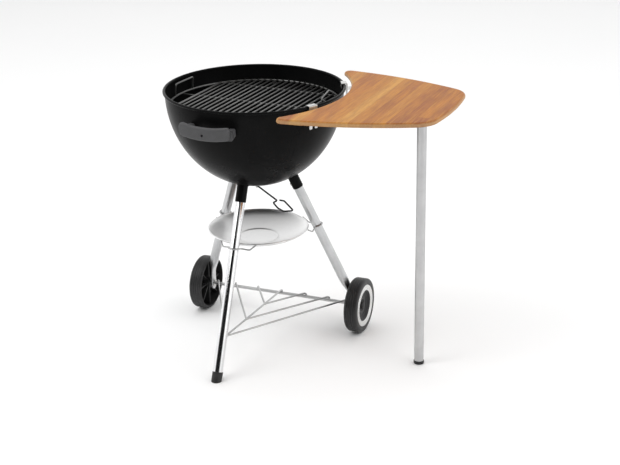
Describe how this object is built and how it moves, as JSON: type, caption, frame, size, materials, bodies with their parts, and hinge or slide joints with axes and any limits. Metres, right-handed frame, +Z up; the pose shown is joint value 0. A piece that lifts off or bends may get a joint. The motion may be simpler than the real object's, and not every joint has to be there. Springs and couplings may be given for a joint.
{
  "type": "kettle charcoal grill",
  "caption": "Kettle charcoal grill: open enamelled bowl with grates, damper lever, ash pan, two wheels, a wire rack and a lift-off wooden side table.",
  "frame": {"origin": "on the floor, under the middle of the whole grill", "axes": "+Z up, +X from the bowl towards the side table, +Y from the front leg towards the wheels"},
  "size_m": [0.7954, 0.576, 0.7162],
  "materials": {
    "black_enamel": "glossy porcelain enamel on steel sheet, with soft orange peel",
    "grate_steel": "bright plated steel rod, slightly browned from heat at the welds",
    "coal_grate_steel": "bare steel rod, dull grey with scale",
    "bracket_steel": "pressed steel brackets, enamelled black like the bowl",
    "sweeper_steel": "aluminised steel sheet, dull grey",
    "lever_wire": "black painted spring wire, worn at the loop",
    "plated_tube": "polished plated tube",
    "aluminium_tube": "satin anodised tube",
    "table_leg_metal": "satin tube with fine draw lines",
    "black_sleeve": "black enamel over welded sockets",
    "black_plastic": "moulded plastic, fine grain, scuffed",
    "grey_nylon": "dark grey glass-filled nylon, matt grain",
    "wheel_plastic": "dark grey moulded plastic wheel, scuffed tread",
    "bright_trim": "bright metallised ring",
    "axle_steel": "plain drawn steel rod",
    "rack_wire": "plated wire",
    "pan_aluminium": "spun aluminium, fine circular marks",
    "hook_steel": "bright zinc-plated pressed sheet",
    "flange_steel": "black painted pressed flange",
    "zinc_screws": "zinc plated",
    "table_wood": "oiled acacia strips of mixed tone, glued edge to edge"
  },
  "bodies": {
    "root": {"bowl": "black_enamel", "handle_screws": "zinc_screws", "snap_buttons": "zinc_screws", "front_leg": "plated_tube", "right_leg": "aluminium_tube", "left_leg": "aluminium_tube", "front_leg_sleeve": "black_sleeve", "right_leg_sleeve": "black_sleeve", "left_leg_sleeve": "black_sleeve", "front_foot_cap": "black_plastic", "axle": "axle_steel", "axle_washers": "zinc_screws", "axle_caps": "black_plastic", "wire_rack": "rack_wire", "cooking_grate_tabs": "bracket_steel", "charcoal_grate_tabs": "bracket_steel", "front_pan_clip": "rack_wire", "right_pan_clip": "rack_wire", "left_pan_clip": "rack_wire", "front_handle": "grey_nylon", "rear_handle": "grey_nylon"},
    "right_wheel_body": {"right_wheel": "wheel_plastic", "right_wheel_trim": "bright_trim"},
    "left_wheel_body": {"left_wheel": "wheel_plastic", "left_wheel_trim": "bright_trim"},
    "damper": {"damper_shaft": "sweeper_steel", "damper_lever": "lever_wire", "damper_nut": "zinc_screws", "sweeper_hub": "sweeper_steel", "sweeper_blade_1": "sweeper_steel", "sweeper_blade_2": "sweeper_steel", "sweeper_blade_3": "sweeper_steel"},
    "cooking_grate_body": {"cooking_grate": "grate_steel", "grate_handles": "grate_steel"},
    "charcoal_grate_body": {"charcoal_grate": "coal_grate_steel"},
    "ash_pan_body": {"ash_pan": "pan_aluminium"},
    "side_table": {"table_top": "table_wood", "front_table_hook": "hook_steel", "rear_table_hook": "hook_steel", "hook_screws": "zinc_screws", "table_leg_flange": "flange_steel", "flange_screws": "zinc_screws", "table_leg": "table_leg_metal", "table_foot_cap": "black_plastic"}
  },
  "joints": [
    {"name": "right_wheel_turn", "type": "hinge", "parent": "root", "child": "right_wheel_body", "pos_m": [0.09225, 0.15303, 0.0755], "axis": [1, 0, 0], "continuous": true},
    {"name": "left_wheel_turn", "type": "hinge", "parent": "root", "child": "left_wheel_body", "pos_m": [-0.37875, 0.15303, 0.0755], "axis": [1, 0, 0], "continuous": true},
    {"name": "damper_turn", "type": "hinge", "parent": "root", "child": "damper", "pos_m": [-0.14325, 0.01303, 0.44], "axis": [0, 0, 1], "range_deg": [-36, 34]},
    {"name": "cooking_grate_lift", "type": "slide", "parent": "root", "child": "cooking_grate_body", "axis": [0, 0, 1], "range_m": [0, 0.2]},
    {"name": "charcoal_grate_lift", "type": "slide", "parent": "root", "child": "charcoal_grate_body", "axis": [0, 0, 1], "range_m": [0, 0.1]},
    {"name": "ash_pan_pull", "type": "slide", "parent": "root", "child": "ash_pan_body", "axis": [0, 0, -1], "range_m": [0, 0.12]},
    {"name": "side_table_lift", "type": "slide", "parent": "root", "child": "side_table", "axis": [0, 0, 1], "range_m": [0, 0.08]}
  ]
}
